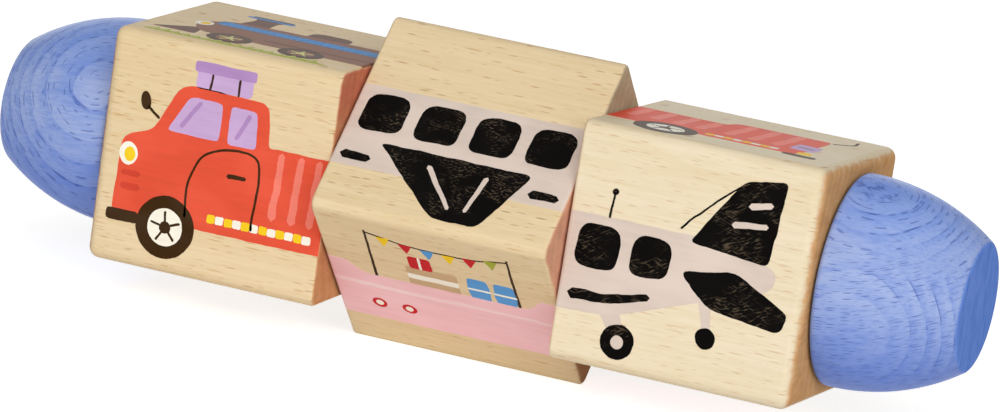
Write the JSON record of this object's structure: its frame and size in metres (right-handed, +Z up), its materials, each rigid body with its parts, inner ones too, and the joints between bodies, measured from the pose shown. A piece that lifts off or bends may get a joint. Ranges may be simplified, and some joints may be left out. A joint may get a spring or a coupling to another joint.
{
  "type": "rotating block puzzle",
  "caption": "Wooden mix-and-match toy: square picture blocks turn side by side on a dowel between turned end knobs.",
  "frame": {"origin": "on the dowel's axis at the middle of its length", "axes": "+X along the dowel towards the right knob, +Y away from the viewer, +Z up"},
  "size_m": [0.2064, 0.0658, 0.0658],
  "materials": {
    "beech": "smooth sanded beech under a matt clear varnish",
    "blue_stained_wood": "beech stained blue, satin, grain showing",
    "dowel_wood": "plain beech dowel, unvarnished",
    "print": "thin matt paint film printed on the block faces"
  },
  "bodies": {
    "axle": {"axle_dowel": "dowel_wood", "left_knob": "blue_stained_wood", "right_knob": "blue_stained_wood"},
    "left_block": {"left_block": "beech"},
    "middle_block": {"middle_block": "beech"},
    "right_block": {"right_block": "beech"}
  },
  "joints": [
    {"name": "left_block_turn", "type": "hinge", "parent": "axle", "child": "left_block", "pos_m": [-0.0504, 0, 0], "axis": [1, 0, 0], "continuous": true},
    {"name": "middle_block_turn", "type": "hinge", "parent": "axle", "child": "middle_block", "pos_m": [0, 0, 0], "axis": [1, 0, 0], "continuous": true},
    {"name": "right_block_turn", "type": "hinge", "parent": "axle", "child": "right_block", "pos_m": [0.0504, 0, 0], "axis": [1, 0, 0], "continuous": true}
  ]
}
